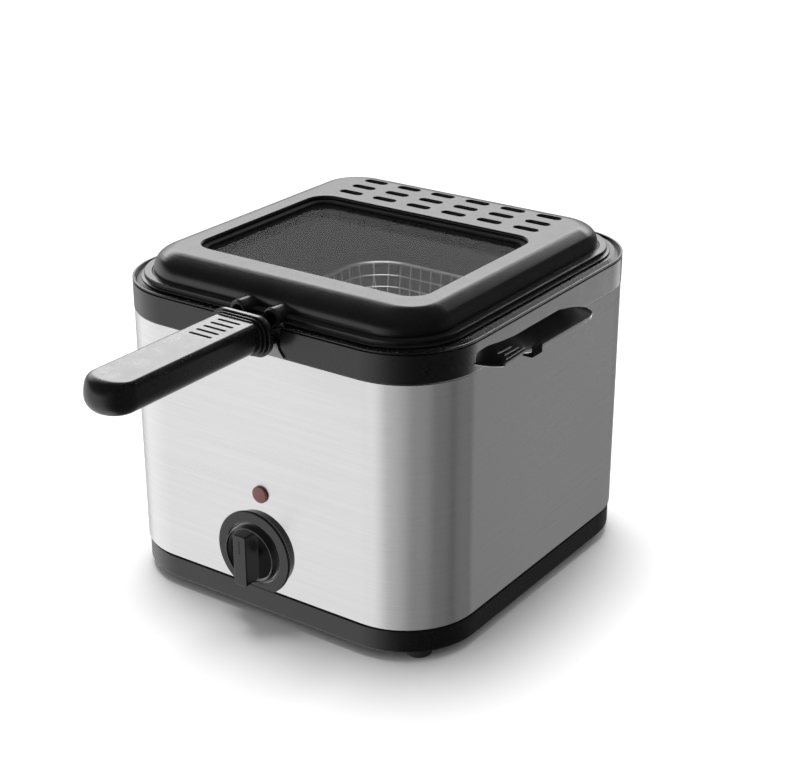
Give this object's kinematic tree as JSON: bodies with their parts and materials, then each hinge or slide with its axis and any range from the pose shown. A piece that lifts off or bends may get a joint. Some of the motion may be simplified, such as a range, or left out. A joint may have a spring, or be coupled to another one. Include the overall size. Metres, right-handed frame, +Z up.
{
  "type": "deep fryer",
  "caption": "Tabletop deep fryer: rounded brushed-steel case, black collar with side grips, lift-out wire basket with a straight handle, lift-off lid with window, thermostat dial.",
  "frame": {"origin": "on the table, under the middle of the overall box, which includes the handle and the cord gland", "axes": "+Z up, -Y towards the front with the dial and the basket handle, +X to the right as seen from the front"},
  "size_m": [0.23, 0.3441, 0.19],
  "materials": {
    "black_plastic": "fine-textured satin",
    "lid_black": "satin",
    "knob_black": "semi-gloss",
    "brushed_case": "brushed lengthwise",
    "plated_steel": "zinc plated",
    "basket_wire": "bright wire",
    "cast_plate": "as cast",
    "pot_lining": "non-stick coating",
    "rubber_feet": "matte",
    "silicone": "matte silicone",
    "lamp_red": "clear dark red",
    "window_glass": "clear, slightly smoked",
    "filter_pad": "coarse fibre pad",
    "ceramic": "unglazed",
    "nylon": "natural nylon",
    "lead_brown": "wire insulation",
    "lead_blue": "wire insulation"
  },
  "bodies": {
    "housing": {"base_tray": "black_plastic", "foot_1": "rubber_feet", "foot_2": "rubber_feet", "foot_3": "rubber_feet", "foot_4": "rubber_feet", "foot_screw_1": "plated_steel", "foot_screw_2": "plated_steel", "foot_screw_3": "plated_steel", "foot_screw_4": "plated_steel", "steel_case": "brushed_case", "collar": "black_plastic", "pot_seal": "silicone", "inner_pot": "pot_lining", "heat_spreader": "cast_plate", "heating_element": "plated_steel", "heat_shield": "plated_steel", "thermal_cutout": "ceramic", "element_terminal_1": "plated_steel", "element_terminal_2": "plated_steel", "pot_stud_1": "plated_steel", "pot_stud_2": "plated_steel", "stud_nut_1": "plated_steel", "stud_nut_2": "plated_steel", "thermostat_body": "ceramic", "thermostat_screw_1": "plated_steel", "thermostat_screw_2": "plated_steel", "thermostat_bulb": "plated_steel", "bulb_clip": "plated_steel", "capillary_tube": "plated_steel", "dial_bezel": "black_plastic", "lamp_lens": "lamp_red", "lamp_body": "nylon", "cord_gland": "rubber_feet", "terminal_block": "nylon", "live_lead": "lead_brown", "neutral_lead": "lead_blue", "switched_lead": "lead_brown"},
    "control": {"control_knob": "knob_black", "thermostat_shaft": "plated_steel"},
    "basket": {"basket_mesh": "basket_wire", "basket_rim": "basket_wire", "basket_hook": "plated_steel", "handle_flange": "black_plastic", "handle_grip": "black_plastic", "handle_screw_1": "plated_steel", "handle_screw_2": "plated_steel"},
    "lid": {"lid_shell": "lid_black", "window_gasket": "silicone", "window_glass": "window_glass", "window_frame": "black_plastic", "frame_screw_1": "plated_steel", "frame_screw_2": "plated_steel", "frame_screw_3": "plated_steel", "frame_screw_4": "plated_steel", "vent_filter": "filter_pad", "filter_cover": "black_plastic", "filter_screw_1": "plated_steel", "filter_screw_2": "plated_steel"}
  },
  "joints": [
    {"name": "dial_turn", "type": "hinge", "parent": "housing", "child": "control", "pos_m": [0, -0.056, 0.0442], "axis": [0, 1, 0], "range_deg": [0, 270]},
    {"name": "basket_lift", "type": "slide", "parent": "housing", "child": "basket", "axis": [0, 0, 1], "range_m": [0, 0.15]},
    {"name": "lid_lift", "type": "slide", "parent": "basket", "child": "lid", "axis": [0, 0, 1], "range_m": [0, 0.12]}
  ]
}
